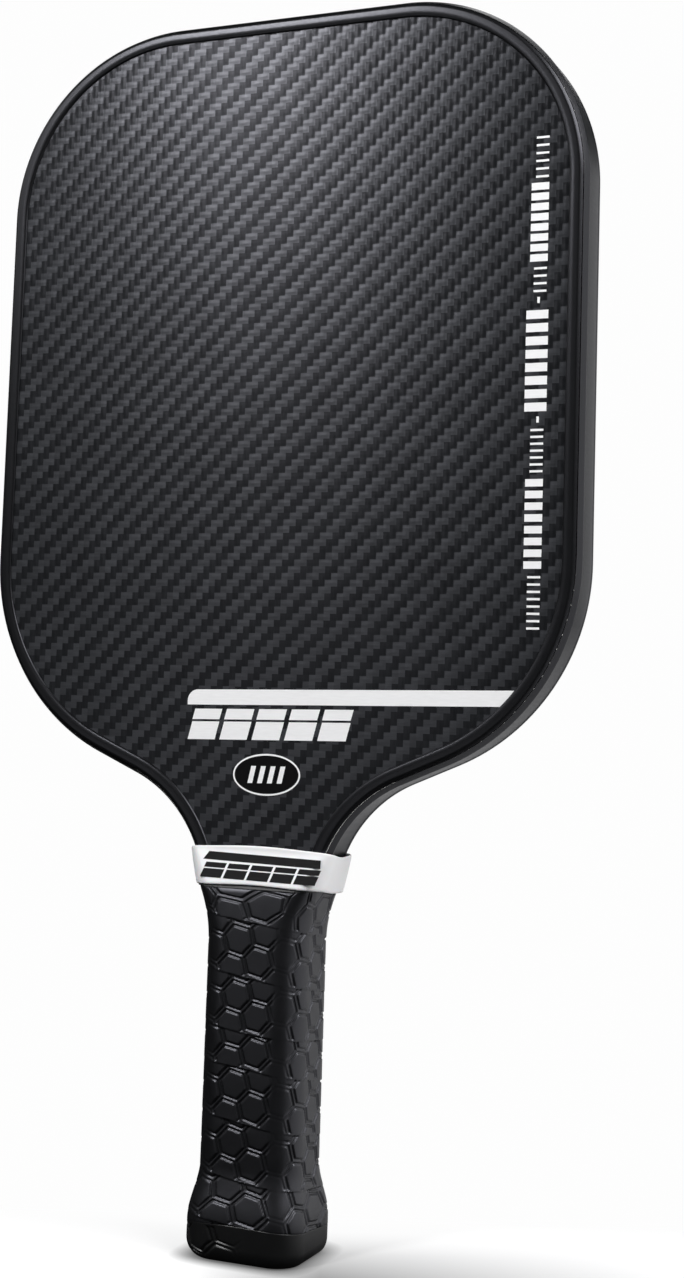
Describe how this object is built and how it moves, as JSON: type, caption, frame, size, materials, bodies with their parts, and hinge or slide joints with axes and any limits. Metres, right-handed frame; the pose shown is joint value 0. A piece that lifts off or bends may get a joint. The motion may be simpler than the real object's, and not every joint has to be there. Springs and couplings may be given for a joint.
{
  "type": "pickleball paddle",
  "caption": "Widebody racket with flat carbon-weave faces over a honeycomb panel, a bevelled edge guard, a white rubber collar and a short flared handle in a hexagon-embossed cushion grip.",
  "frame": {"origin": "centre of the butt's end face, the face the paddle stands on", "axes": "+Z from the butt to the tip of the head, -Y out of the front face, +X to the right as the front face is seen"},
  "size_m": [0.205, 0.036, 0.3975],
  "materials": {
    "core_plastic": "matte, milky polypropylene",
    "bond_film": "cured adhesive film",
    "carbon_face": "matte carbon fibre twill in resin",
    "guard_plastic": "satin black moulded thermoplastic",
    "guard_tape": "double-sided foam tape",
    "pallet_foam": "rigid moulded foam",
    "cap_rubber": "satin black moulded rubber",
    "staple_steel": "drawn wire",
    "medallion_plastic": "domed gloss disc, blank",
    "grip_polyurethane": "embossed black polyurethane, satin",
    "finishing_tape": "black vinyl tape",
    "collar_rubber": "smooth white silicone rubber",
    "print_ink": "screen-printed ink"
  },
  "bodies": {
    "root": {"honeycomb_core": "core_plastic", "front_bond_film": "bond_film", "rear_bond_film": "bond_film", "front_face_sheet": "carbon_face", "rear_face_sheet": "carbon_face", "edge_guard_tape": "guard_tape", "edge_guard": "guard_plastic", "front_handle_pallet": "pallet_foam", "rear_handle_pallet": "pallet_foam", "butt_cap": "cap_rubber", "butt_cap_staples": "staple_steel", "butt_medallion": "medallion_plastic", "cushion_grip": "grip_polyurethane", "grip_finishing_tape": "finishing_tape", "collar": "collar_rubber"}
  },
  "joints": []
}
